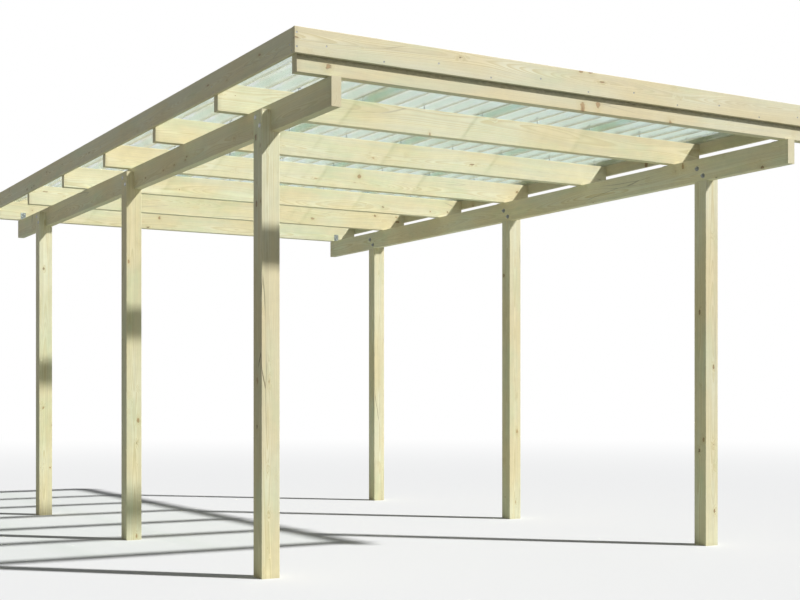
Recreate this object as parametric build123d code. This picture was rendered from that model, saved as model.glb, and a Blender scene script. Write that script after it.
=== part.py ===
from build123d import *
import math
import os

# A single-car carport in planed softwood with clear corrugated roof sheets.
# Millimetres. +Z up, the front faces -Y, +X is to the right seen from the front.
# The origin lies on the ground, under the middle of the roof's outline.

# Posts: square, three on each side, with a halved head that takes the beam
post_size = 100.0
post_rows = 3
post_pitch_along = 2080.0
post_pitch_across = 2950.0
post_head_below_beam_top = 30.0

# Beams: one on each side, let into the inner half of the posts
beam_thickness = 50.0
beam_height = 140.0
beam_underside = 2230.0

# Rafters: laid across both beams
rafter_count = 7
rafter_pitch = 930.0
rafter_thickness = 50.0
rafter_height = 145.0

# Fascia boards: nailed round the rafters, standing above them
fascia_thickness = 20.0
fascia_height = 120.0
fascia_above_rafters = 55.0

# Overhangs: from the outer faces of the posts to the outer faces of the fascia boards
front_overhang = 663.0
side_overhang = 135.0

# Roof sheets: round-waved clear plastic, waves running from front to rear
sheet_thickness = 1.2
wave_pitch = 130.0
wave_height = 30.0
waves_per_sheet = 7
waves_of_lap = 1
sheet_end_clearance = 5.0

# Angle brackets: bent steel, one where each rafter crosses a beam
bracket_leg = 60.0
bracket_width = 40.0
bracket_thickness = 2.5
bracket_bend_radius = 3.0

# Fits and finish
lay_clearance = 0.3
edge_radius = 3.0

# Places worked out from the sizes above
beam_top = beam_underside + beam_height
rafter_top = beam_top + rafter_height
fascia_top = rafter_top + fascia_above_rafters
roof_depth = (rafter_count - 1) * rafter_pitch + rafter_thickness + 2 * fascia_thickness
roof_width = post_pitch_across + post_size + 2 * side_overhang
roof_front = -roof_depth / 2
inside_width = roof_width - 2 * fascia_thickness
inside_depth = roof_depth - 2 * fascia_thickness
first_post = roof_front + front_overhang + post_size / 2
first_rafter = roof_front + fascia_thickness + rafter_thickness / 2
roof_waves = int(inside_width // wave_pitch)
cover_waves = waves_per_sheet - waves_of_lap
sheet_count = math.ceil((roof_waves - waves_of_lap) / cover_waves)

sides = {"left": -1, "right": 1}
row_names = ["front", "middle", "rear"]


def timber(length_x, length_y, length_z, run):
    """A planed timber centred on the origin, with its four long edges eased along the run axis."""
    block = Box(length_x, length_y, length_z)
    return fillet(block.edges().filter_by(run), edge_radius)


def post(side):
    """One post standing on the origin, its head halved on the inner side for the beam."""
    height = beam_top - post_head_below_beam_top
    shaft = Pos(0, 0, height / 2) * timber(post_size, post_size, height, Axis.Z)
    head = beam_top - beam_underside
    inner_half = Pos(-side * (post_size - beam_thickness), 0, beam_underside + head / 2)
    return shaft - inner_half * Box(post_size, 2 * post_size, head)


def beam(side):
    """One beam in place, flush with the inner faces of its posts and with the roof's ends."""
    inner_face = post_pitch_across / 2 - post_size / 2
    centre_x = side * (inner_face + beam_thickness / 2)
    place = Pos(centre_x, 0, beam_underside + beam_height / 2)
    return place * timber(beam_thickness, roof_depth, beam_height, Axis.Y)


def rafter(number):
    """One rafter in place on the beams, counted from the front."""
    place = Pos(0, first_rafter + number * rafter_pitch, beam_top + rafter_height / 2)
    return place * timber(inside_width, rafter_thickness, rafter_height, Axis.X)


def bracket(side, number):
    """The angle bracket in the corner of a beam's top and a rafter's rear face, or the last one's front."""
    facing = -1 if number == rafter_count - 1 else 1
    corner = (Align.MIN, Align.MIN)
    hollow = Rectangle(bracket_leg, bracket_leg, align=corner)
    legs = Rectangle(bracket_leg, bracket_leg, align=corner) - Pos(bracket_thickness, bracket_thickness) * hollow
    bend = legs.vertices().sort_by_distance((bracket_thickness, bracket_thickness))[0]
    legs = fillet(bend, bracket_bend_radius)
    angle = extrude(Plane.YZ * legs, bracket_width / 2, both=True)
    if facing < 0:
        angle = mirror(angle, about=Plane.XZ)
    beam_centre = side * (post_pitch_across - post_size + beam_thickness) / 2
    rafter_face = first_rafter + number * rafter_pitch + facing * rafter_thickness / 2
    return Pos(beam_centre, rafter_face, beam_top) * angle


def end_fascia(end):
    """The front (-1) or rear (1) fascia board, as wide as the roof."""
    centre_y = end * (roof_depth - fascia_thickness) / 2
    place = Pos(0, centre_y, fascia_top - fascia_height / 2)
    return place * timber(roof_width, fascia_thickness, fascia_height, Axis.X)


def side_fascia(side):
    """A side fascia board, fitted between the front and rear ones."""
    centre_x = side * (roof_width - fascia_thickness) / 2
    place = Pos(centre_x, 0, fascia_top - fascia_height / 2)
    return place * timber(fascia_thickness, inside_depth, fascia_height, Axis.Y)


def wave_points(waves, lift, rise_per_wave):
    """Low, middle and high points of the waves, left to right, each wave a little higher."""
    points = []
    for quarter in range(4 * waves + 1):
        x = quarter * wave_pitch / 4
        swing = (-1, 0, 1, 0)[quarter % 4]
        z = wave_height / 2 * (1 + swing) + rise_per_wave * quarter / 4
        points.append((x, z + lift))
    return points


def wave_line(points):
    """Arcs through the wave points: a whole one at each crest and trough, a half one at each end."""
    arcs = [TangentArc(points[0], points[1], tangent=(1, 0))]
    for first in range(1, len(points) - 2, 2):
        arcs.append(ThreePointArc(*points[first:first + 3]))
    arcs.append(TangentArc(points[-1], points[-2], tangent=(-1, 0)))
    return arcs


def roof_sheet(number):
    """One sheet in place, its right-hand wave over the next one's left-hand wave. The last is cut to fit."""
    first_wave = number * cover_waves
    waves = min(waves_per_sheet, roof_waves - first_wave)
    rise_per_wave = (sheet_thickness + lay_clearance) / cover_waves
    low = wave_points(waves, 0, rise_per_wave)
    high = wave_points(waves, sheet_thickness, rise_per_wave)
    edges = wave_line(low) + wave_line(high) + [Line(low[0], high[0]), Line(low[-1], high[-1])]
    section = Plane.XZ * make_face(edges)
    length = inside_depth - 2 * sheet_end_clearance
    left_edge = (first_wave - roof_waves / 2) * wave_pitch
    return Pos(left_edge, length / 2, rafter_top + lay_clearance) * extrude(section, length)


def save(shape, name):
    export_step(shape, f"parts/{name}.step")


os.makedirs("parts", exist_ok=True)

for row in range(post_rows):
    for side_name, side in sides.items():
        place = Pos(side * post_pitch_across / 2, first_post + row * post_pitch_along, 0)
        save(place * post(side), f"post_{row_names[row]}_{side_name}")

for side_name, side in sides.items():
    save(beam(side), f"beam_{side_name}")
    save(side_fascia(side), f"fascia_{side_name}")

for number in range(rafter_count):
    save(rafter(number), f"rafter_{number + 1}")
    for side_name, side in sides.items():
        save(bracket(side, number), f"bracket_{number + 1}_{side_name}")

save(end_fascia(-1), "fascia_front")
save(end_fascia(1), "fascia_rear")

for number in range(sheet_count):
    save(roof_sheet(number), f"roof_sheet_{number + 1}")
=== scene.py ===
import math
import bmesh
import bpy
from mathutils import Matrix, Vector


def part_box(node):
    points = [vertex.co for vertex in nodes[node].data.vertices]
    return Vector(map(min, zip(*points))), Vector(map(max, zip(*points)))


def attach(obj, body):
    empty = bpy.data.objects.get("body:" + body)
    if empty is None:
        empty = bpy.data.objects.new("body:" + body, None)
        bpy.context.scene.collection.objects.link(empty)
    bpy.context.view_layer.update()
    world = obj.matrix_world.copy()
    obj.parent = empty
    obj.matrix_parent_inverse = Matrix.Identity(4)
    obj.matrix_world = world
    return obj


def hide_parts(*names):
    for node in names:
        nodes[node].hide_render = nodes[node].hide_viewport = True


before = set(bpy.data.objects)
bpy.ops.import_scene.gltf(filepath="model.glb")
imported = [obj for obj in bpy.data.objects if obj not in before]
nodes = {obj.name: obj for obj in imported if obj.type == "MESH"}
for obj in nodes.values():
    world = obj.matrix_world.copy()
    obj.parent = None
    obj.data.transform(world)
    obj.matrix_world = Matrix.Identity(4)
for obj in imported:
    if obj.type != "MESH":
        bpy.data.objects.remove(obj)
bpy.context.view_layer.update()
collection = bpy.context.scene.collection


# Posts
# Six square posts of planed, pressure-treated softwood, standing on the ground. Their heads are halved
# on the inner side. The timber shows growth rings, knots, drying checks and a green tinge of the salts.

FLOAT, WHOLE = "NodeSocketFloat", "NodeSocketInt"
VECTOR, COLOUR = "NodeSocketVector", "NodeSocketColor"


def srgb(red, green, blue):
    """A colour of 0 to 255 as Blender's linear one."""
    parts = [c / 255 for c in (red, green, blue)]
    return tuple(c / 12.92 if c < 0.0405 else ((c + 0.055) / 1.055) ** 2.4 for c in parts) + (1.0,)


def put(tree, kind, settings=None, inputs=None):
    """A new node. Settings are its own properties, inputs are plain values or other nodes' sockets."""
    new = tree.nodes.new(kind)
    for name, value in (settings or {}).items():
        setattr(new, name, value)
    for name, value in (inputs or {}).items():
        if isinstance(value, bpy.types.NodeSocket):
            tree.links.new(value, new.inputs[name])
        else:
            new.inputs[name].default_value = value
    return new


def maths(tree, operation, *terms, clamp=False):
    """The result of a Math node."""
    settings = {"operation": operation, "use_clamp": clamp}
    return put(tree, "ShaderNodeMath", settings, dict(enumerate(terms))).outputs[0]


def less(tree, number, other):
    """One number less another."""
    return maths(tree, "SUBTRACT", number, other)


def divided(tree, number, other):
    """One number divided by another."""
    return maths(tree, "DIVIDE", number, other)


def product(tree, first, *others):
    """Several numbers multiplied."""
    for other in others:
        first = maths(tree, "MULTIPLY", first, other)
    return first


def total(tree, first, *others):
    """Several numbers added."""
    for other in others:
        first = maths(tree, "ADD", first, other)
    return first


def vectors(tree, operation, *terms):
    """The vector result of a Vector Math node."""
    return put(tree, "ShaderNodeVectorMath", {"operation": operation}, dict(enumerate(terms))).outputs[0]


def length_of(tree, vector):
    """How long a vector is."""
    return put(tree, "ShaderNodeVectorMath", {"operation": "LENGTH"}, {0: vector}).outputs["Value"]


def parts_of(tree, vector):
    """The X, Y and Z of a vector."""
    return put(tree, "ShaderNodeSeparateXYZ", None, {0: vector}).outputs


def step(tree, value, low, high, to_low=0.0, to_high=1.0):
    """A smooth step from to_low to to_high as value goes from low to high."""
    inputs = {"Value": value, "From Min": low, "From Max": high, "To Min": to_low, "To Max": to_high}
    return put(tree, "ShaderNodeMapRange", {"interpolation_type": "SMOOTHSTEP"}, inputs).outputs[0]


def fade(tree, value, low, high, least=0.0):
    """A smooth step down from 1 to least as value goes from low to high."""
    return step(tree, value, low, high, 1.0, least)


def across_grain(tree, vector):
    """The part of a vector that lies across the grain, which runs along Z."""
    return vectors(tree, "MULTIPLY", vector, (1.0, 1.0, 0.0))


def stretched(tree, vector, across, along):
    """The vector scaled across the grain and along it."""
    return vectors(tree, "MULTIPLY", vector, (across, across, along))


def noise(tree, vector, across, along, detail=2.0, roughness=0.5, seed=0.0):
    """A noise of about 0 to 1 round 0.5, with this many swells a metre across and along."""
    inputs = {"Vector": stretched(tree, vector, across, along), "W": seed, "Scale": 1.0,
              "Detail": detail, "Roughness": roughness}
    return put(tree, "ShaderNodeTexNoise", {"noise_dimensions": "4D"}, inputs).outputs


def drift(tree, vector, across, along, reach, detail, seed):
    """A sideways shift of the grain, at most about reach in metres."""
    swell = noise(tree, vector, across, along, detail, seed=seed)["Color"]
    swell = vectors(tree, "SUBTRACT", swell, (0.5, 0.5, 0.5))
    return vectors(tree, "MULTIPLY", swell, (reach, reach, 0.0))


# The places of a Mix node's sockets for colours, which have the same names as its others
MIX_SHARE, MIX_FIRST, MIX_SECOND, MIX_RESULT = 0, 6, 7, 2


def mixed(tree, share, first, second, blend="MIX"):
    """Two colours mixed by share."""
    settings = {"data_type": "RGBA", "blend_type": blend}
    inputs = {MIX_SHARE: share, MIX_FIRST: first, MIX_SECOND: second}
    return put(tree, "ShaderNodeMix", settings, inputs).outputs[MIX_RESULT]


def painted(tree, colour, share, strength, coat, blend="MIX"):
    """The colour with a coat over it, which has this strength where share is 1."""
    return mixed(tree, product(tree, share, strength), colour, coat, blend)


def grey(tree, value):
    """A number as a grey."""
    return put(tree, "ShaderNodeCombineColor", None, {0: value, 1: value, 2: value}).outputs[0]


def effect(name, inputs, outputs, kind="ShaderNodeTree"):
    """An empty node group with these sockets: its tree, the sockets to read and the sockets to fill."""
    tree = bpy.data.node_groups.new(name, kind)
    for socket_name, socket_kind, value in inputs:
        socket = tree.interface.new_socket(socket_name, in_out="INPUT", socket_type=socket_kind)
        if value is not None:
            socket.default_value = value
    for socket_name, socket_kind in outputs:
        tree.interface.new_socket(socket_name, in_out="OUTPUT", socket_type=socket_kind)
    return tree, tree.nodes.new("NodeGroupInput").outputs, tree.nodes.new("NodeGroupOutput").inputs


def fill(tree, sockets, results):
    """Links each result to the socket of its name."""
    for name, result in results.items():
        tree.links.new(result, sockets[name])


def placed(tree, effect_tree, inputs):
    """The outputs of a shared effect placed in a tree."""
    return put(tree, "ShaderNodeGroup", {"node_tree": effect_tree}, inputs).outputs


# The stem: where a point lies from a pith line that wanders along the timber, and how many years out
LEAN_OF_RINGS = 1.6
stem_effect, given, made = effect(
    "stem",
    [("Vector", VECTOR, (0, 0, 0)), ("Pith", VECTOR, (0, 0, 0)), ("Wander", FLOAT, 0.05),
     ("Ring Width", FLOAT, 0.004), ("Seed", FLOAT, 0.0)],
    [("Stem", VECTOR), ("Years", FLOAT)])
point, seed = given["Vector"], given["Seed"]
slow = drift(stem_effect, point, across=0.8, along=0.8, reach=1.0, detail=1.0, seed=seed)
slow = vectors(stem_effect, "MULTIPLY", slow, given["Wander"])
fast = drift(stem_effect, point, across=14.0, along=3.0, reach=0.006, detail=2.0, seed=seed)
stem = vectors(stem_effect, "ADD", vectors(stem_effect, "ADD", point, slow), fast)
stem = vectors(stem_effect, "SUBTRACT", stem, given["Pith"])
radius = length_of(stem_effect, across_grain(stem_effect, stem))
years = divided(stem_effect, radius, given["Ring Width"])
slow_years = product(stem_effect, years, 0.6)
lean = noise(stem_effect, stem, across=0.0, along=0.5, detail=0.0, seed=slow_years)["Fac"]
years = total(stem_effect, years, product(stem_effect, lean, LEAN_OF_RINGS))
fill(stem_effect, made, {"Stem": stem, "Years": years})

# Knots: branches that leave the pith radially, so they show as ovals on the face that cuts them
LEAST_KNOT = 0.002
RINGS_IN_KNOT = 3.5
knot_effect, given, made = effect(
    "knots",
    [("Stem", VECTOR, (0, 0, 0)), ("Spacing", FLOAT, 0.11), ("Size", FLOAT, 0.2), ("Seed", FLOAT, 0.0)],
    [("Knot", FLOAT), ("Swirl", FLOAT), ("Rim", FLOAT), ("Heart", FLOAT), ("Rings", FLOAT), ("Kind", FLOAT)])
outward = vectors(knot_effect, "NORMALIZE", across_grain(knot_effect, given["Stem"]))
height = divided(knot_effect, parts_of(knot_effect, given["Stem"])["Z"], given["Spacing"])
height = total(knot_effect, height, given["Seed"])
place = put(knot_effect, "ShaderNodeCombineXYZ", None, {0: given["Seed"], 2: height}).outputs[0]
place = vectors(knot_effect, "ADD", outward, place)
stray = drift(knot_effect, place, across=5.0, along=5.0, reach=0.07, detail=1.0, seed=0.0)
place = vectors(knot_effect, "ADD", place, stray)
cells = put(knot_effect, "ShaderNodeTexVoronoi", None, {"Vector": place, "Scale": 1.0}).outputs
kind = put(knot_effect, "ShaderNodeSeparateColor", None, {0: cells["Color"]}).outputs
off_pith = length_of(knot_effect, across_grain(knot_effect, given["Stem"]))
there = step(knot_effect, kind["Red"], 0.55, 0.98)
there = product(knot_effect, there, fade(knot_effect, off_pith, 0.03, 0.11, 0.5))
size = total(knot_effect, product(knot_effect, given["Size"], there), LEAST_KNOT)
ragged = noise(knot_effect, given["Stem"], across=90.0, along=60.0)["Fac"]
share = divided(knot_effect, cells["Distance"], size)
share = product(knot_effect, share, step(knot_effect, ragged, 0.25, 0.75, 0.78, 1.25))
rings = maths(knot_effect, "FRACT", product(knot_effect, share, RINGS_IN_KNOT))
fill(knot_effect, made, {
    "Knot": fade(knot_effect, share, 0.82, 1.02),
    "Swirl": product(knot_effect, fade(knot_effect, share, 0.6, 3.4), step(knot_effect, there, 0.0, 0.3)),
    "Rim": product(knot_effect, step(knot_effect, share, 0.8, 0.96), fade(knot_effect, share, 0.98, 1.14)),
    "Heart": fade(knot_effect, share, 0.1, 0.5),
    "Rings": step(knot_effect, rings, 0.3, 0.9),
    "Kind": kind["Green"]})

# Worn arrises and sawn ends, found from the timber's own section and length
edge_effect, given, made = effect(
    "arris_and_end",
    [("Vector", VECTOR, (0, 0, 0)), ("Half Size", VECTOR, (0.05, 0.05, 1.0)), ("Wear", FLOAT, 0.004),
     ("Seed", FLOAT, 0.0)],
    [("Arris", FLOAT), ("End", FLOAT), ("Near End", FLOAT)])
point, seed = given["Vector"], given["Seed"]
inside = vectors(edge_effect, "ABSOLUTE", point)
inside = parts_of(edge_effect, vectors(edge_effect, "SUBTRACT", given["Half Size"], inside))
ragged = noise(edge_effect, point, across=60.0, along=18.0, detail=3.0, roughness=0.6, seed=seed)["Fac"]
width = product(edge_effect, given["Wear"], step(edge_effect, ragged, 0.3, 0.75, 0.1, 1.6))
corner = divided(edge_effect, maths(edge_effect, "MAXIMUM", inside["X"], inside["Y"]), width)
fill(edge_effect, made, {
    "Arris": maths(edge_effect, "SUBTRACT", 1.0, corner, clamp=True),
    "End": fade(edge_effect, inside["Z"], 0.0002, 0.0006),
    "Near End": fade(edge_effect, inside["Z"], 0.0, 0.03)})

# Planed softwood as a whole: years, fibres, knots, drying checks, treatment salts, arrises and ends
PALE_KNOT = srgb(180, 148, 102)
DARK_KNOT = srgb(144, 112, 76)
KNOT_RINGS = srgb(136, 98, 62)
KNOT_HEART = srgb(122, 88, 58)
KNOT_RIM = srgb(88, 66, 44)
CHECK_SHADOW = srgb(84, 68, 46)
WORN_ARRIS = srgb(238, 231, 206)
DAMP_END = srgb(150, 132, 92)
EARLY_END = srgb(228, 224, 196)
LATE_END = srgb(196, 182, 142)
SALTS_FURTHER_ON = 7.3
CHECKS_FURTHER_ON = 2.2
CHECKS_SHIFTED = (3.1, 1.7, 0.0)
wood, given, made = effect(
    "planed_softwood",
    [("Vector", VECTOR, (0, 0, 0)), ("Half Size", VECTOR, (0.05, 0.05, 1.0)),
     ("Pith", VECTOR, (0.02, 0.03, 0)), ("Wander", FLOAT, 0.05), ("Ring Width", FLOAT, 0.004),
     ("Seed", FLOAT, 0.0), ("Early Wood", COLOUR, srgb(232, 231, 204)),
     ("Late Wood", COLOUR, srgb(206, 194, 146)), ("Warm Wood", COLOUR, srgb(230, 217, 177)),
     ("Salts", COLOUR, srgb(204, 217, 181)), ("Tone", FLOAT, 1.0), ("Knot Size", FLOAT, 0.17),
     ("Checks", FLOAT, 1.0)],
    [("Color", COLOUR), ("Roughness", FLOAT), ("Height", FLOAT)])
point, seed = given["Vector"], given["Seed"]
grown = placed(wood, stem_effect, {n: given[n] for n in ("Vector", "Pith", "Wander", "Ring Width", "Seed")})
branch = placed(wood, knot_effect, {"Stem": grown["Stem"], "Size": given["Knot Size"], "Seed": seed})
worn = placed(wood, edge_effect, {"Vector": point, "Half Size": given["Half Size"], "Seed": seed})
fibre = noise(wood, point, across=420.0, along=9.0, detail=3.0, roughness=0.6, seed=seed)["Fac"]
streak = noise(wood, grown["Stem"], across=34.0, along=0.9, roughness=0.55, seed=seed)["Fac"]
patch = noise(wood, point, across=5.0, along=1.6, seed=seed)["Fac"]
salt_seed = total(wood, seed, SALTS_FURTHER_ON)
salt_patch = noise(wood, point, across=7.0, along=2.4, detail=3.0, roughness=0.6, seed=salt_seed)["Fac"]
mark = noise(wood, point, across=22.0, along=22.0, detail=4.0, roughness=0.65, seed=seed)["Fac"]

year = maths(wood, "FRACT", total(wood, grown["Years"], product(wood, branch["Swirl"], 1.7)))
late = product(wood, step(wood, year, 0.25, 0.88), fade(wood, year, 0.9, 1.0))
colour = mixed(wood, step(wood, patch, 0.34, 0.68, 0.0, 0.85), given["Early Wood"], given["Warm Wood"])
colour = painted(wood, colour, late, step(wood, streak, 0.3, 0.7, 0.3, 0.85), given["Late Wood"])
colour = mixed(wood, step(wood, salt_patch, 0.44, 0.76, 0.0, 0.5), colour, given["Salts"])
shade = product(
    wood, step(wood, streak, 0.25, 0.75, 0.9, 1.04), step(wood, fibre, 0.25, 0.75, 0.95, 1.03),
    step(wood, mark, 0.3, 0.75, 0.96, 1.02), given["Tone"])
colour = mixed(wood, 1.0, colour, grey(wood, shade), "MULTIPLY")
colour = painted(wood, colour, branch["Swirl"], 0.3, given["Warm Wood"], "MULTIPLY")

knot = mixed(wood, branch["Kind"], PALE_KNOT, DARK_KNOT)
knot = painted(wood, knot, branch["Rings"], 0.5, KNOT_RINGS)
knot = mixed(wood, branch["Heart"], knot, KNOT_HEART)
colour = painted(wood, colour, branch["Knot"], 0.8, knot)
colour = painted(wood, colour, branch["Rim"], step(wood, branch["Kind"], 0.3, 0.9, 0.1, 0.8), KNOT_RIM)

shifted_stem = vectors(wood, "ADD", grown["Stem"], CHECKS_SHIFTED)
split = put(wood, "ShaderNodeTexVoronoi", {"feature": "DISTANCE_TO_EDGE"}, {
    "Vector": stretched(wood, shifted_stem, 13.0, 0.8), "Scale": 1.0}).outputs[0]
check_seed = total(wood, seed, CHECKS_FURTHER_ON)
where = noise(wood, point, across=9.0, along=0.9, detail=1.0, seed=check_seed)["Fac"]
check = product(wood, fade(wood, split, 0.004, 0.014), step(wood, where, 0.56, 0.64), given["Checks"])
colour = painted(wood, colour, check, 0.7, CHECK_SHADOW)

colour = painted(wood, colour, worn["Arris"], 0.5, WORN_ARRIS)
colour = painted(wood, colour, worn["Near End"], 0.15, DAMP_END)
colour = painted(wood, colour, worn["End"], 0.6, mixed(wood, late, EARLY_END, LATE_END))
rough = total(
    wood, step(wood, late, 0.0, 1.0, 0.74, 0.62), step(wood, mark, 0.3, 0.8, -0.05, 0.08),
    product(wood, worn["End"], 0.15), product(wood, branch["Knot"], -0.15))
relief = total(
    wood, product(wood, late, 0.35), product(wood, fibre, 0.3), product(wood, mark, 0.25),
    product(wood, branch["Swirl"], 0.4), product(wood, branch["Rim"], -0.6), product(wood, check, -2.5))
fill(wood, made, {"Color": colour, "Roughness": rough, "Height": relief})

TURN_TO_RUN = {"z": (0.0, 0.0, 0.0), "y": (math.pi / 2, 0.0, 0.0), "x": (0.0, math.pi / 2, 0.0)}
AXES_TO_RUN = {"z": (0, 1, 2), "y": (0, 2, 1), "x": (2, 1, 0)}

# A square timber has its pith inside, near the middle. A flat one was sawn beside the pith
SQUARE_ENOUGH = 0.8
PITH_OFF_MIDDLE = 0.016
PITH_BEYOND_FACE = 0.012
PITH_SPREAD = 0.03
SQUARE_WANDER = 0.05
FLAT_WANDER = 0.11

# What one timber has of its own: the ring width, the tone, and where its patterns start
LEAST_RING = 0.0032
RING_SPREAD = 0.0016
LEAST_TONE = 0.96
TONE_SPREAD = 0.07
SEED_STEP = 3.71
GRAIN_DEPTH = 0.0004


def chance(number, salt):
    """A fixed share from 0 to 1 for a timber's number: the fraction of a large sine."""
    return math.sin(number * 12.9898 + salt * 78.233) * 43758.5453 % 1.0


def own_point(tree):
    """Where a point of the surface lies in the part, in metres."""
    return put(tree, "ShaderNodeTexCoord").outputs["Object"]


def new_finish(name):
    """A new material, its tree and its shader."""
    material = bpy.data.materials.new(name)
    material.use_nodes = True
    return material, material.node_tree, material.node_tree.nodes["Principled BSDF"]


def bumped(tree, shader, height, depth, strength):
    """Gives the shader a fine relief from a height, with this depth in metres."""
    bump = put(tree, "ShaderNodeBump", None, {"Height": height, "Distance": depth, "Strength": strength})
    tree.links.new(bump.outputs[0], shader.inputs["Normal"])


def coated(name, material):
    """Gives a timber or a bracket of the frame its material."""
    for slot in nodes[name].material_slots:
        slot.material = material


def timber_finish(name, run, number, checks, tone=1.0):
    """Gives a timber its own softwood, its grain along the run and its pith where its section was sawn."""
    low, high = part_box(name)
    centre, half = (low + high) / 2, (high - low) / 2
    section = [half[i] for i in AXES_TO_RUN[run]]
    thin, wide = (0, 1) if section[0] < section[1] else (1, 0)
    side_of_pith = 1 if chance(number, 1) < 0.5 else -1
    pith = [0.0, 0.0, 0.0]
    if section[thin] > SQUARE_ENOUGH * section[wide]:
        pith[thin] = PITH_OFF_MIDDLE * side_of_pith
        pith[wide] = (chance(number, 2) - 0.5) * PITH_SPREAD
        wander = SQUARE_WANDER
    else:
        pith[thin] = side_of_pith * (section[thin] + PITH_BEYOND_FACE + PITH_SPREAD * chance(number, 2))
        pith[wide] = (chance(number, 3) - 0.5) * section[wide]
        wander = FLAT_WANDER
    material, tree, shader = new_finish(name + "_softwood")
    point = vectors(tree, "SUBTRACT", own_point(tree), tuple(centre))
    point = put(tree, "ShaderNodeMapping", None, {"Vector": point, "Rotation": TURN_TO_RUN[run]}).outputs[0]
    grain = placed(tree, wood, {
        "Vector": point, "Half Size": section, "Pith": pith, "Wander": wander, "Seed": number * SEED_STEP,
        "Ring Width": LEAST_RING + RING_SPREAD * chance(number, 4),
        "Tone": tone * (LEAST_TONE + TONE_SPREAD * chance(number, 5)), "Checks": checks})
    fill(tree, shader.inputs, {"Base Color": grain["Color"], "Roughness": grain["Roughness"]})
    bumped(tree, shader, grain["Height"], GRAIN_DEPTH, strength=0.9)
    shader.inputs["Specular IOR Level"].default_value = 0.35
    coated(name, material)


# A timber's number picks its pattern, so no two timbers of the part share one
FIRST_POST = 1
rows = ("front", "middle", "rear")
sides = {"left": -1, "right": 1}
for side_number, side in enumerate(sides):
    for row_number, row in enumerate(rows):
        number = FIRST_POST + row_number + len(rows) * side_number
        timber_finish(f"post_{row}_{side}", "z", number, checks=1.0)


# Beams
# Two beams of the same softwood, one a side, lying in the notches of the posts' heads and running
# the whole depth of the roof. Each is one planed length with its ends sawn square.

FIRST_BEAM = 11
# Painted light and shade: the left beam is toned darker for the shade on its outer face, and the right one
# lighter for the light thrown up on its inner face.
BEAM_LIGHT_AND_SHADE = {"left": 0.91, "right": 1.04}
for side_number, side in enumerate(sides):
    timber_finish(f"beam_{side}", "y", FIRST_BEAM + side_number, checks=0.6, tone=BEAM_LIGHT_AND_SHADE[side])


# Coach bolts
# Two zinc-plated coach bolts hold each post's tongue to its beam, one above the other and a little
# apart. The domed head is on the outside, the washer and nut are on the beam's inner face.

ZINC_TONE = srgb(158, 161, 160)
ZINC_DEPTH = 0.0001
SHARP_ON_FIXING = math.radians(35)

zinc_effect, given, made = effect(
    "zinc_bloom",
    [("Vector", VECTOR, (0, 0, 0)), ("Crystals", FLOAT, 90.0), ("Tone", COLOUR, ZINC_TONE),
     ("Dullness", FLOAT, 0.4)],
    [("Color", COLOUR), ("Roughness", FLOAT), ("Height", FLOAT)])
cells = put(zinc_effect, "ShaderNodeTexVoronoi", None, {
    "Vector": given["Vector"], "Scale": given["Crystals"]}).outputs
crystals = put(zinc_effect, "ShaderNodeSeparateColor", None, {0: cells["Color"]}).outputs["Red"]
bloom = noise(zinc_effect, given["Vector"], across=60.0, along=60.0, detail=3.0, roughness=0.6)["Fac"]
shade = step(zinc_effect, crystals, 0.0, 1.0, 0.86, 1.05)
shade = product(zinc_effect, shade, fade(zinc_effect, bloom, 0.35, 0.7, 0.88))
dull = total(
    zinc_effect, given["Dullness"], step(zinc_effect, crystals, 0.0, 1.0, -0.08, 0.08),
    step(zinc_effect, bloom, 0.35, 0.7, 0.0, 0.15))
fill(zinc_effect, made, {
    "Color": mixed(zinc_effect, 1.0, given["Tone"], grey(zinc_effect, shade), "MULTIPLY"),
    "Roughness": dull, "Height": bloom})


def zinc_finish(name, crystals_per_metre, dullness, tone=ZINC_TONE):
    """A zinc-coated steel with its own crystal size, dullness and tone."""
    material, tree, shader = new_finish(name)
    coat = placed(tree, zinc_effect, {
        "Vector": own_point(tree), "Crystals": crystals_per_metre, "Dullness": dullness, "Tone": tone})
    fill(tree, shader.inputs, {"Base Color": coat["Color"], "Roughness": coat["Roughness"]})
    bumped(tree, shader, coat["Height"], ZINC_DEPTH, strength=0.5)
    shader.inputs["Metallic"].default_value = 1.0
    return material


def turned(name, profile, around=12):
    """A small part turned about Z from rings of radius and height. A third number makes a ring a star."""
    shape = bmesh.new()
    loops = []
    for ring in profile:
        radius, height, star = (*ring, 0.0)[:3]
        loop = []
        for corner in range(around):
            angle = math.tau * corner / around
            reach = radius * (1 + star * (1 if corner % 2 else -1))
            loop.append(shape.verts.new((reach * math.cos(angle), reach * math.sin(angle), height)))
        loops.append(loop)
    for lower, upper in zip(loops, loops[1:]):
        for corner in range(around):
            after = (corner + 1) % around
            shape.faces.new((lower[corner], lower[after], upper[after], upper[corner]))
    shape.faces.new(tuple(reversed(loops[0])))
    shape.faces.new(tuple(loops[-1]))
    bmesh.ops.recalc_face_normals(shape, faces=shape.faces)
    for face in shape.faces:
        face.smooth = True
    mesh = bpy.data.meshes.new(name)
    shape.to_mesh(mesh)
    shape.free()
    mesh.set_sharp_from_angle(angle=SHARP_ON_FIXING)
    return bpy.data.objects.new(name, mesh)


def end_tree(tree, geometry, finish, geometry_out):
    """Ends a Geometry Nodes tree: what it made becomes a real mesh in one finish."""
    real = put(tree, "GeometryNodeRealizeInstances", None, {0: geometry}).outputs[0]
    whole = put(tree, "GeometryNodeSetMaterial", None, {"Geometry": real, "Material": finish}).outputs[0]
    tree.links.new(whole, geometry_out)


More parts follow.
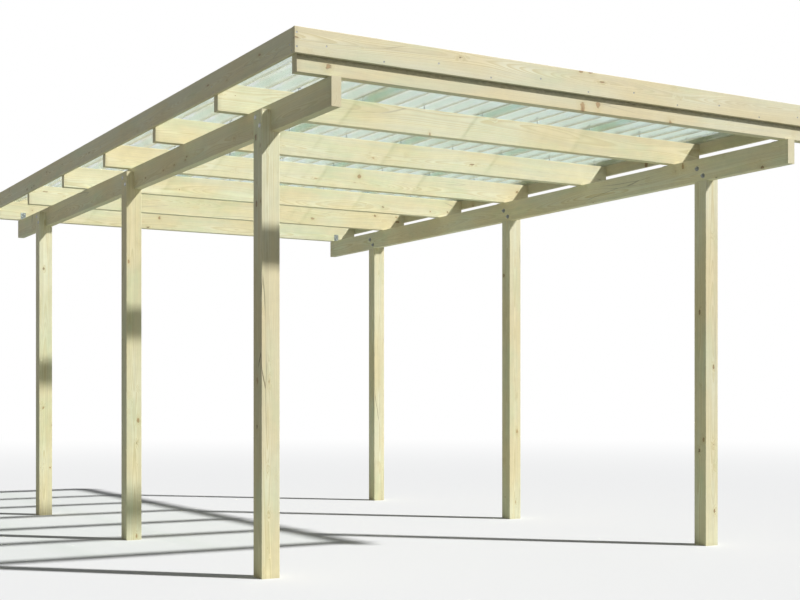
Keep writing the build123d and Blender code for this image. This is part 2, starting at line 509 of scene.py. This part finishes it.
# Fixings in rows: copies of one small part along a line and across it, each turned by chance on its axis.
# The Random Value node's sockets for a plain number are known by their places
RANDOM_MOST, RANDOM_SEED, RANDOM_RESULT = 3, 8, 1
fixing_rows, given, made = effect(
    "fixings_in_rows",
    [("Fixing", "NodeSocketObject", None), ("Start", VECTOR, (0, 0, 0)), ("Along", VECTOR, (0, 1, 0)),
     ("Number Along", WHOLE, 1), ("Across", VECTOR, (0, 0, 0)), ("Number Across", WHOLE, 1),
     ("Turn", VECTOR, (0, 0, 0)), ("Spin", FLOAT, math.tau), ("Seed", WHOLE, 1),
     ("Finish", "NodeSocketMaterial", None)],
    [("Geometry", "NodeSocketGeometry")], "GeometryNodeTree")
along = put(fixing_rows, "GeometryNodeMeshLine", None, {
    "Count": given["Number Along"], "Start Location": given["Start"], "Offset": given["Along"]}).outputs[0]
across = put(fixing_rows, "GeometryNodeMeshLine", None, {
    "Count": given["Number Across"], "Offset": given["Across"]}).outputs[0]
places = put(fixing_rows, "GeometryNodeInstanceOnPoints", None, {"Points": along, "Instance": across})
places = put(fixing_rows, "GeometryNodeRealizeInstances", None, {0: places.outputs[0]}).outputs[0]
spin = put(fixing_rows, "FunctionNodeRandomValue", {"data_type": "FLOAT"}, {
    RANDOM_MOST: given["Spin"], RANDOM_SEED: given["Seed"]}).outputs[RANDOM_RESULT]
spin = put(fixing_rows, "ShaderNodeCombineXYZ", None, {2: spin}).outputs[0]
spin = put(fixing_rows, "FunctionNodeEulerToRotation", None, {0: spin}).outputs[0]
turn = put(fixing_rows, "FunctionNodeEulerToRotation", None, {0: given["Turn"]}).outputs[0]
turn = put(fixing_rows, "FunctionNodeRotateRotation", {"rotation_space": "LOCAL"}, {0: turn, 1: spin})
fixing = put(fixing_rows, "GeometryNodeObjectInfo", None, {"Object": given["Fixing"]}).outputs["Geometry"]
copies = put(fixing_rows, "GeometryNodeInstanceOnPoints", None, {
    "Points": places, "Instance": fixing, "Rotation": turn.outputs[0]}).outputs[0]
end_tree(fixing_rows, copies, given["Finish"], made["Geometry"])


def settled(holder):
    """The plain mesh that an object's modifiers make of it. The object goes."""
    graph = bpy.context.evaluated_depsgraph_get()
    mesh = bpy.data.meshes.new_from_object(holder.evaluated_get(graph), depsgraph=graph)
    bpy.data.objects.remove(holder)
    return mesh


def in_one_finish(mesh, finish):
    """Leaves the mesh this material alone."""
    mesh.materials.clear()
    mesh.materials.append(finish)
    for face in mesh.polygons:
        face.material_index = 0


def grown_mesh(tree, inputs, wall=0.0):
    """The plain mesh that a Geometry Nodes tree makes from inputs given by name, with a wall where asked."""
    holder = bpy.data.objects.new("growing", bpy.data.meshes.new("growing"))
    collection.objects.link(holder)
    modifier = holder.modifiers.new("tree", "NODES")
    modifier.node_group = tree
    for item in tree.interface.items_tree:
        if item.in_out == "INPUT" and item.name in inputs:
            modifier[item.identifier] = inputs[item.name]
    if wall:
        solid = holder.modifiers.new("wall", "SOLIDIFY")
        solid.thickness, solid.offset = wall, 1.0
    mesh = settled(holder)
    in_one_finish(mesh, mesh.materials[-1])
    return mesh


def joined(name, meshes):
    """Several meshes as one."""
    shape = bmesh.new()
    for mesh in meshes:
        shape.from_mesh(mesh)
    whole = bpy.data.meshes.new(name)
    shape.to_mesh(whole)
    shape.free()
    return whole


def piece(name, meshes, slot_name, *stands_for):
    """One piece made of these meshes, riding on the part."""
    made_piece = bpy.data.objects.new(name, joined(name, meshes))
    made_piece.data.materials.append(meshes[0].materials[0])
    collection.objects.link(made_piece)
    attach(made_piece, "root")
    if stands_for:
        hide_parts(*stands_for)
    return made_piece


OUT_OF_SIDE = {"left": (0.0, -math.pi / 2, 0.0), "right": (0.0, math.pi / 2, 0.0)}
BOLT_OFF_MIDDLE = 0.026
BOLT_FROM_END = 0.03
FIRST_BOLT_SEED = 3
THREAD_START = 0.0105
THREAD_PITCH = 0.0015
bright_zinc = zinc_finish("bright_zinc", 400.0, 0.36)
head = turned("coach_head", [
    (0.0125, -0.001), (0.0125, 0.0006), (0.0115, 0.0022), (0.0088, 0.0041), (0.005, 0.0054),
    (0.0012, 0.0058)], around=20)
washer = turned("washer", [(0.015, -0.0005), (0.015, 0.002), (0.0146, 0.0025), (0.004, 0.0025)], around=24)
nut = turned("nut", [(0.0098, 0.002), (0.0098, 0.0098), (0.0088, 0.0105), (0.0052, 0.0105)], around=6)
ridges = [(0.0049 if ridge % 2 else 0.0044, THREAD_START + THREAD_PITCH / 2 * ridge) for ridge in range(8)]
thread = turned("thread", [(0.005, 0.004), *ridges, (0.0038, 0.0168)])
for side, sign in sides.items():
    bolts = []
    inner_side = "right" if side == "left" else "left"
    beam_low, beam_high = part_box(f"beam_{side}")
    inner = beam_high.x if sign < 0 else beam_low.x
    for row_number, row in enumerate(rows):
        post_low, post_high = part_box(f"post_{row}_{side}")
        outer = post_low.x if sign < 0 else post_high.x
        low_y, low_z = (post_low.y + post_high.y) / 2 - BOLT_OFF_MIDDLE, beam_low.z + BOLT_FROM_END
        to_upper = (0.0, 2 * BOLT_OFF_MIDDLE, post_high.z - beam_low.z - 2 * BOLT_FROM_END)
        for part, face, facing in ((head, outer, side), (washer, inner, inner_side),
                                   (nut, inner, inner_side), (thread, inner, inner_side)):
            bolts.append(grown_mesh(fixing_rows, {
                "Fixing": part, "Start": (face, low_y, low_z), "Along": to_upper, "Number Along": 2,
                "Turn": OUT_OF_SIDE[facing], "Seed": FIRST_BOLT_SEED + row_number, "Finish": bright_zinc}))
    piece(f"coach_bolts_{side}", bolts, "galvanised_steel")


# Rafters
# Seven rafters laid on edge across both beams. They are planed on all faces, of the same softwood
# as the posts, and the clear roof lets the light down on to their faces.

FIRST_RAFTER = 21
# Painted light and shade: the front rafters are toned a little darker and the rear ones lighter, for how the
# light falls on them.
RAFTER_TONES = (0.95, 0.98, 1.02, 1.04, 1.03, 1.05, 1.04)
rafters = [f"rafter_{number + 1}" for number in range(len(RAFTER_TONES))]
for number, tone in enumerate(RAFTER_TONES):
    timber_finish(rafters[number], "x", FIRST_RAFTER + number, checks=0.4, tone=tone)
first_low, first_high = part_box(rafters[0])
last_low, last_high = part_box(rafters[-1])
first_rafter_y = (first_low.y + first_high.y) / 2
rafter_pitch = (last_low.y - first_low.y) / (len(rafters) - 1)

# The outer faces of the first and the last are painted darker in a strip under the fascia board: painted shade
# where the board's shadow falls, and the damp that stays there.
SHADE_STRIP_REACH = 0.03
PAINTED_SHADE_WOOD = srgb(66, 56, 34)
fascia_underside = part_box("fascia_front")[0].z
for name, outer_face in ((rafters[0], first_low.y), (rafters[-1], last_high.y)):
    tree = nodes[name].material_slots[0].material.node_tree
    shader = tree.nodes["Principled BSDF"]
    point = own_point(tree)
    place = parts_of(tree, point)
    ragged = noise(tree, point, across=40.0, along=120.0, detail=3.0, roughness=0.6)["Fac"]
    ragged = product(tree, ragged, SHADE_STRIP_REACH)
    below = less(tree, fascia_underside, place["Z"])
    below = total(tree, below, ragged)
    # Painted shade: darkest right under the fascia board, fading out a few centimetres down.
    painted_shade = step(tree, below, 0.4 * SHADE_STRIP_REACH, 1.3 * SHADE_STRIP_REACH, to_low=0.6, to_high=0.0)
    off_face = maths(tree, "ABSOLUTE", less(tree, place["Y"], outer_face))
    painted_shade = product(tree, painted_shade, fade(tree, off_face, 0.0005, 0.001))
    grain = shader.inputs["Base Color"].links[0].from_socket
    tree.links.new(mixed(tree, painted_shade, grain, PAINTED_SHADE_WOOD), shader.inputs["Base Color"])


# Angle brackets
# A bent, hot-dip galvanised angle in each corner of a rafter and a beam, with four pan-head screws
# in it, two in each leg.

BRACKET_WALL = 0.0025
SCREWS_APART = 0.022
SCREWS_STAGGERED = 0.018
FIRST_ON_BEAM = 0.046
FIRST_ON_RAFTER = 0.03
RAFTER_LEG_SEED = 20
STAR_RECESS = 0.16
dipped_zinc = zinc_finish("dipped_zinc", 130.0, 0.6, srgb(112, 117, 116))
pan_head = turned("pan_head", [
    (0.005, -0.0003), (0.0052, 0.0008), (0.0046, 0.0022), (0.0036, 0.0027),
    (0.0024, 0.0027, STAR_RECESS), (0.0021, 0.0012, STAR_RECESS), (0.0006, 0.001)])
for side in sides:
    screws = []
    for number, rafter in enumerate(rafters):
        name = f"bracket_{number + 1}_{side}"
        coated(name, dipped_zinc)
        low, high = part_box(name)
        facing = -1 if rafter == rafters[-1] else 1
        corner_y = low.y if facing > 0 else high.y
        start_x = (low.x + high.x) / 2 - SCREWS_APART / 2
        both_legs = {"Fixing": pan_head, "Number Along": 2, "Finish": bright_zinc}
        screws.append(grown_mesh(fixing_rows, {
            **both_legs, "Start": (start_x, corner_y + facing * FIRST_ON_BEAM, low.z + BRACKET_WALL),
            "Along": (SCREWS_APART, -facing * SCREWS_STAGGERED, 0.0), "Seed": number}))
        screws.append(grown_mesh(fixing_rows, {
            **both_legs, "Start": (start_x, corner_y + facing * BRACKET_WALL, low.z + FIRST_ON_RAFTER),
            "Along": (SCREWS_APART, 0.0, SCREWS_STAGGERED), "Turn": (-facing * math.pi / 2, 0.0, 0.0),
            "Seed": number + RAFTER_LEG_SEED}))
    piece(f"bracket_screws_{side}", screws, "galvanised_steel")


# Fascia boards
# Four planed boards screwed round the rafters' ends, the side ones fitted between the front and rear ones.
# They hide the sheets' edges. Their screws are countersunk, so each board is drawn again with its holes.

FASCIA_TONE = 0.92
FIRST_END_BOARD, FIRST_SIDE_BOARD = 31, 41
for number, name in enumerate(("fascia_front", "fascia_rear")):
    timber_finish(name, "x", FIRST_END_BOARD + number, checks=0.3, tone=FASCIA_TONE)
for number, name in enumerate(("fascia_left", "fascia_right")):
    timber_finish(name, "y", FIRST_SIDE_BOARD + number, checks=0.3, tone=FASCIA_TONE)

flat_head = turned("flat_head", [
    (0.003, -0.0035), (0.0043, -0.0008), (0.0041, -0.0004), (0.0023, -0.0004, STAR_RECESS),
    (0.0021, -0.0012, STAR_RECESS), (0.0006, -0.0014)])
countersink = turned("countersink", [(0.0022, -0.005), (0.0046, -0.0008), (0.0052, 0.0004)], around=16)
SAME_PLACE = 0.00001
FLAT_FACE = 0.9999
SHARP_ON_BOARD = math.radians(32)


def merged_board(name):
    """A copy of a board of the frame with its loose triangles merged."""
    board = bpy.data.objects.new("board", nodes[name].data.copy())
    board.data.attributes.remove(board.data.attributes["custom_normal"])
    shape = bmesh.new()
    shape.from_mesh(board.data)
    bmesh.ops.remove_doubles(shape, verts=shape.verts, dist=SAME_PLACE)
    shape.to_mesh(board.data)
    shape.free()
    return board


def bored_board(name, rows_of_screws):
    """The board with a countersunk hole at each screw, and the screws in it."""
    board = merged_board(name)
    holes = [grown_mesh(fixing_rows, {**row, "Fixing": countersink}) for row in rows_of_screws]
    cutter = bpy.data.objects.new("holes", joined("holes", holes))
    for helper in (board, cutter):
        collection.objects.link(helper)
    modifier = board.modifiers.new("holes", "BOOLEAN")
    modifier.object, modifier.solver = cutter, "EXACT"
    bored = settled(board)
    bpy.data.objects.remove(cutter)
    made_board = piece(name + "_board", [bored], "fascia_board", name)
    in_one_finish(made_board.data, nodes[name].data.materials[0])
    for face in made_board.data.polygons:
        face.use_smooth = max(abs(part) for part in face.normal) < FLAT_FACE
    made_board.data.set_sharp_from_angle(angle=SHARP_ON_BOARD)
    screws = [grown_mesh(fixing_rows, {**row, "Fixing": flat_head}) for row in rows_of_screws]
    piece(name + "_screws", screws, "galvanised_steel")


# An end board has an upper and a lower row of screws into the first or last rafter, and two more at each
# end into the side boards
END_SCREWS_APART = 0.6
UPPER_SCREWS, LOWER_SCREWS = 6, 5
UPPER_BELOW_RAFTER_TOP = 0.018
LOWER_ABOVE_EDGE = 0.016
CORNER_ABOVE_EDGE = 0.028
CORNER_SCREWS_APART = 0.064
rafter_top = first_high.z
front_low, front_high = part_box("fascia_front")
board_half = (front_high.y - front_low.y) / 2
corner_to_corner = front_high.x - front_low.x - 2 * board_half
for name, face, facing in (("fascia_front", front_low.y, -1), ("fascia_rear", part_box("fascia_rear")[1].y, 1)):
    upper = {
        "Start": (-END_SCREWS_APART * (UPPER_SCREWS - 1) / 2, face, rafter_top - UPPER_BELOW_RAFTER_TOP),
        "Along": (END_SCREWS_APART, 0.0, 0.0), "Number Along": UPPER_SCREWS,
        "Turn": (-facing * math.pi / 2, 0.0, 0.0), "Seed": 5, "Finish": bright_zinc}
    lower = {
        **upper, "Start": (-END_SCREWS_APART * (LOWER_SCREWS - 1) / 2, face, front_low.z + LOWER_ABOVE_EDGE),
        "Number Along": LOWER_SCREWS, "Seed": 6}
    corners = {
        **upper, "Start": (front_low.x + board_half, face, front_low.z + CORNER_ABOVE_EDGE),
        "Along": (0.0, 0.0, CORNER_SCREWS_APART), "Number Along": 2,
        "Across": (corner_to_corner, 0.0, 0.0), "Number Across": 2, "Seed": 7}
    bored_board(name, (upper, lower, corners))

# A side board has two screws into the end of each rafter
PAIR_APART, PAIR_RISE = 0.02, 0.031
for side, sign in sides.items():
    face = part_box(f"fascia_{side}")[0 if sign < 0 else 1].x
    bored_board(f"fascia_{side}", ({
        "Start": (face, first_rafter_y - PAIR_APART / 2, front_low.z + LOWER_ABOVE_EDGE),
        "Along": (0.0, rafter_pitch, 0.0), "Number Along": len(rafters),
        "Across": (0.0, PAIR_APART, PAIR_RISE), "Number Across": 2,
        "Turn": OUT_OF_SIDE[side], "Seed": 8, "Finish": bright_zinc},))


# Roof sheets
# Four clear, round-waved plastic sheets with their waves from front to rear, each one's last wave lapped
# over the next one's first. They are extruded, 1.2 mm thick, faintly green, a little hazed and silted.

WAVE_PITCH = 0.13
WAVE_HEIGHT = 0.03
SHEET_WALL = 0.0012
SHEETS = 4
POINTS_ALONG = 13
SHARP_ON_SHEET = math.radians(50)

sheet_tree, given, made = effect(
    "waved_sheet",
    [("Wave Pitch", FLOAT, WAVE_PITCH), ("Wave Height", FLOAT, WAVE_HEIGHT), ("Waves", WHOLE, 7),
     ("Length", FLOAT, 5.62), ("Rise", FLOAT, 0.00025), ("Corner", VECTOR, (0, 0, 0)),
     ("Steps", WHOLE, 24), ("Finish", "NodeSocketMaterial", None)],
    [("Geometry", "NodeSocketGeometry")], "GeometryNodeTree")
wave, tall = given["Wave Pitch"], given["Wave Height"]
wide = product(sheet_tree, wave, given["Waves"])
points = total(sheet_tree, product(sheet_tree, given["Steps"], given["Waves"]), 1.0)
grid = put(sheet_tree, "GeometryNodeMeshGrid", None, {
    "Size X": wide, "Size Y": given["Length"], "Vertices X": points, "Vertices Y": POINTS_ALONG}).outputs[0]
at = parts_of(sheet_tree, put(sheet_tree, "GeometryNodeInputPosition").outputs[0])
x = total(sheet_tree, at["X"], product(sheet_tree, wide, 0.5))
y = total(sheet_tree, at["Y"], product(sheet_tree, given["Length"], 0.5))

# A wave is made of arcs that meet at its half height. The bend is their radius, and the drop is how far
# a point lies above the trough or below the crest of its arc
turns = divided(sheet_tree, x, wave)
share = maths(sheet_tree, "PINGPONG", turns, 0.5)
off = maths(sheet_tree, "MINIMUM", share, less(sheet_tree, 0.5, share))
off = product(sheet_tree, off, wave)
quarter = product(sheet_tree, wave, 0.25)
bend = total(sheet_tree, product(sheet_tree, quarter, quarter), product(sheet_tree, tall, tall, 0.25))
bend = divided(sheet_tree, bend, tall)
drop = less(sheet_tree, product(sheet_tree, bend, bend), product(sheet_tree, off, off))
drop = less(sheet_tree, bend, maths(sheet_tree, "SQRT", drop))
crest = maths(sheet_tree, "GREATER_THAN", share, 0.25)
high = product(sheet_tree, crest, less(sheet_tree, tall, drop))
low = product(sheet_tree, less(sheet_tree, 1.0, crest), drop)
z = total(sheet_tree, high, low, product(sheet_tree, turns, given["Rise"]))
shaped = put(sheet_tree, "ShaderNodeCombineXYZ", None, {0: x, 1: y, 2: z}).outputs[0]
shaped = vectors(sheet_tree, "ADD", given["Corner"], shaped)
sheet = put(sheet_tree, "GeometryNodeSetPosition", None, {"Geometry": grid, "Position": shaped}).outputs[0]
sheet = put(sheet_tree, "GeometryNodeSetShadeSmooth", None, {0: sheet}).outputs[0]
end_tree(sheet_tree, sheet, given["Finish"], made["Geometry"])

# Clear plastic: haze and draw lines from the making, a green tint down the flanks and silt in the troughs
CLEAN_PLASTIC = srgb(238, 247, 243)
GRIMY_PLASTIC = srgb(218, 229, 215)
FLANK_GREEN = srgb(194, 220, 206)
SILT = srgb(174, 192, 166)
CLEAR_TINT = srgb(254, 255, 254)
DULL_TINT = srgb(199, 207, 194)
DRAW_LINES = (260.0, 3.0, 260.0)
WASH_MARKS = (30.0, 1.2, 1.0)
HAZE_DEPTH = 0.0004
clear_plastic, tree, shader = new_finish("clear_plastic")
point = own_point(tree)
haze = noise(tree, point, across=9.0, along=9.0, detail=4.0, roughness=0.6)["Fac"]
grime = noise(tree, point, across=2.0, along=2.0, detail=3.0, roughness=0.6, seed=4.0)["Fac"]
drawn = vectors(tree, "MULTIPLY", point, DRAW_LINES)
drawn = noise(tree, drawn, across=1.0, along=1.0)["Fac"]
washed = vectors(tree, "MULTIPLY", point, WASH_MARKS)
washed = noise(tree, washed, across=1.0, along=1.0, detail=3.0, roughness=0.6)["Fac"]
from_edge = less(tree, parts_of(tree, point)["X"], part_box("roof_sheet_1")[0].x)
from_trough = maths(tree, "PINGPONG", divided(tree, from_edge, WAVE_PITCH), 0.5)
silt = product(tree, fade(tree, from_trough, 0.02, 0.14), step(tree, washed, 0.3, 0.7, 0.2, 0.9))
flank = product(tree, step(tree, from_trough, 0.08, 0.22), fade(tree, from_trough, 0.28, 0.42))
plastic = mixed(tree, step(tree, grime, 0.45, 0.75), CLEAN_PLASTIC, GRIMY_PLASTIC)
plastic = painted(tree, plastic, flank, 0.45, FLANK_GREEN)
plastic = painted(tree, plastic, silt, 0.45, SILT)
rough = total(tree, step(tree, haze, 0.3, 0.7, 0.07, 0.16), step(tree, drawn, 0.3, 0.7, 0.0, 0.05))
fill(tree, shader.inputs, {"Base Color": plastic, "Roughness": rough})
bumped(tree, shader, total(tree, product(tree, drawn, 0.3), haze), HAZE_DEPTH, strength=0.6)
shader.inputs["Transmission Weight"].default_value = 0.9
shader.inputs["IOR"].default_value = 1.5

# Light passes the sheets on its way to the timber, and is dimmed a little where it meets them aslant
path = put(tree, "ShaderNodeLightPath").outputs
facing = put(tree, "ShaderNodeLayerWeight", None, {"Blend": 0.5}).outputs["Facing"]
dullness = total(tree, step(tree, haze, 0.3, 0.75, 0.02, 0.06), step(tree, grime, 0.5, 0.8, 0.0, 0.03))
dimmed = total(tree, product(tree, facing, facing, facing, 0.35), dullness)
tint = mixed(tree, dimmed, CLEAR_TINT, DULL_TINT)
clear = put(tree, "ShaderNodeBsdfTransparent", None, {"Color": tint}).outputs[0]
surface = shader.outputs[0]
for soft_light in (path["Is Shadow Ray"], path["Is Diffuse Ray"]):
    surface = put(tree, "ShaderNodeMixShader", None, {0: soft_light, 1: surface, 2: clear}).outputs[0]
tree.links.new(surface, tree.nodes["Material Output"].inputs["Surface"])

# A sheet rises a little with each wave, and its highest crest is half a wave short of its right edge
for number in range(SHEETS):
    node_name = f"roof_sheet_{number + 1}"
    low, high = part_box(node_name)
    waves = round((high.x - low.x) / WAVE_PITCH)
    rise = (high.z - low.z - WAVE_HEIGHT - SHEET_WALL) / (waves - 0.5)
    mesh = grown_mesh(sheet_tree, {
        "Waves": waves, "Length": high.y - low.y, "Rise": rise, "Corner": tuple(low),
        "Finish": clear_plastic}, SHEET_WALL)
    made_sheet = piece(f"waved_sheet_{number + 1}", [mesh], "clear_sheet", node_name)
    for face in made_sheet.data.polygons:
        face.use_smooth = True
    made_sheet.data.set_sharp_from_angle(angle=SHARP_ON_SHEET)


# Roof screws
# Hex-head screws through every third crest into each rafter. A zinc washer presses a dark rubber seal
# on to the plastic.

WAVES_BETWEEN_SCREWS = 3
SCREWS_ACROSS = 9
sheet_low, sheet_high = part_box("roof_sheet_1")
roof_rows = {
    "Start": (sheet_low.x + WAVE_PITCH / 2, first_rafter_y, sheet_high.z),
    "Along": (0.0, rafter_pitch, 0.0), "Number Along": len(rafters),
    "Across": (WAVES_BETWEEN_SCREWS * WAVE_PITCH, 0.0, 0.0), "Number Across": SCREWS_ACROSS, "Seed": 9}
hex_screw = turned("hex_screw", [
    (0.0031, -0.0325), (0.0031, 0.001), (0.0125, 0.0006), (0.0127, 0.0014), (0.0112, 0.0024),
    (0.0066, 0.0028), (0.0064, 0.0036), (0.0046, 0.0037), (0.0046, 0.0082), (0.0038, 0.0088)])
seal = turned("seal", [(0.0118, -0.0024), (0.0122, -0.001), (0.0118, 0.0008)], around=16)
rubber, tree, shader = new_finish("seal_rubber")
dust = noise(tree, own_point(tree), across=120.0, along=120.0, detail=3.0, roughness=0.6)["Fac"]
fill(tree, shader.inputs, {
    "Base Color": mixed(tree, step(tree, dust, 0.4, 0.75), srgb(44, 44, 42), srgb(92, 90, 84)),
    "Roughness": step(tree, dust, 0.3, 0.7, 0.6, 0.85)})
steel_mesh = grown_mesh(fixing_rows, {**roof_rows, "Fixing": hex_screw, "Finish": bright_zinc})
piece("roof_screws", [steel_mesh], "galvanised_steel")
seal_mesh = grown_mesh(fixing_rows, {**roof_rows, "Fixing": seal, "Finish": rubber})
piece("roof_seals", [seal_mesh], "galvanised_steel")


# Studio
# A wide pale floor keeps the part's shadow and turns to plain white far away. The light is one slightly
# warm lamp, high on the front right, with a faint even surround and what the floor throws back up.

WHITE = (1.0, 1.0, 1.0, 1.0)
SURROUND_LIGHT = 0.15


def seen(tree):
    """1 where the eye sees a thing, straight on or in metal and glass, and 0 where it only gives light."""
    path = put(tree, "ShaderNodeLightPath").outputs
    in_glass_or_metal = maths(tree, "MAXIMUM", path["Is Glossy Ray"], path["Is Transmission Ray"])
    return maths(tree, "MAXIMUM", path["Is Camera Ray"], in_glass_or_metal)


world = bpy.data.worlds.new("surround")
bpy.context.scene.world = world
world.use_nodes = True
tree = world.node_tree
background = tree.nodes["Background"].inputs
tree.links.new(step(tree, seen(tree), 0.0, 1.0, SURROUND_LIGHT, 1.0), background["Strength"])
background["Color"].default_value = WHITE

# The floor throws light back up under the roof and just round it, and hardly any from further off
FLOOR_REACH = 150.0
FULL_BOUNCE_TO, LEAST_BOUNCE_FROM = 2.6, 4.6
FADES_FROM, WHITE_FROM = 5.0, 22.0
FLOOR_SEEN = (0.76, 0.785, 0.8, 1.0)
BOUNCE_NEAR = (0.56, 0.62, 0.51, 1.0)
BOUNCE_FAR = (0.1, 0.11, 0.09, 1.0)
ROUND_ROOF = (1.15, 1.0, 0.0)
floor_corners = [(x * FLOOR_REACH, y * FLOOR_REACH, 0) for x, y in ((-1, -1), (1, -1), (1, 1), (-1, 1))]
floor_mesh = bpy.data.meshes.new("floor")
floor_mesh.from_pydata(floor_corners, [], [(0, 1, 2, 3)])
floor = bpy.data.objects.new("floor", floor_mesh)
collection.objects.link(floor)
pale, tree, shader = new_finish("pale_floor")
floor_mesh.materials.append(pale)
point = own_point(tree)
beside = length_of(tree, vectors(tree, "MULTIPLY", point, ROUND_ROOF))
bounce = mixed(tree, step(tree, beside, FULL_BOUNCE_TO, LEAST_BOUNCE_FROM), BOUNCE_NEAR, BOUNCE_FAR)
tree.links.new(mixed(tree, seen(tree), bounce, FLOOR_SEEN), shader.inputs["Base Color"])
shader.inputs["Roughness"].default_value = 0.9
shader.inputs["Specular IOR Level"].default_value = 0.0
glow = put(tree, "ShaderNodeEmission", None, {"Color": WHITE, "Strength": 1.0}).outputs[0]
far_off = step(tree, length_of(tree, point), FADES_FROM, WHITE_FROM)
blend = put(tree, "ShaderNodeMixShader", None, {0: far_off, 1: shader.outputs[0], 2: glow}).outputs[0]
tree.links.new(blend, tree.nodes["Material Output"].inputs["Surface"])

TOWARDS_LAMP = Vector((1.0, -1.0, 1.27))
lamp = bpy.data.lights.new("soft_lamp", "SUN")
lamp.energy = 4.6
lamp.color = (1.0, 0.97, 0.955)
lamp.angle = math.radians(2.2)
lamp_holder = bpy.data.objects.new("soft_lamp", lamp)
lamp_holder.rotation_mode = "QUATERNION"
lamp_holder.rotation_quaternion = TOWARDS_LAMP.to_track_quat("Z", "Y")
collection.objects.link(lamp_holder)


# Camera
# It stands to the front left of the part, 0.9 m above the ground, and looks level past the left posts
# towards the rear right one. Its frame is shifted up, so that the posts stay upright in the picture.

camera = bpy.data.cameras.new("camera")
camera.lens = 59.25
camera.shift_y = 0.124
camera_holder = bpy.data.objects.new("camera", camera)
camera_holder.location = (-4.216, -8.173, 0.895)
camera_holder.rotation_euler = (math.pi / 2, 0.0, math.radians(-30.157))
collection.objects.link(camera_holder)
bpy.context.scene.camera = camera_holder
bpy.context.scene.view_settings.view_transform = "Standard"
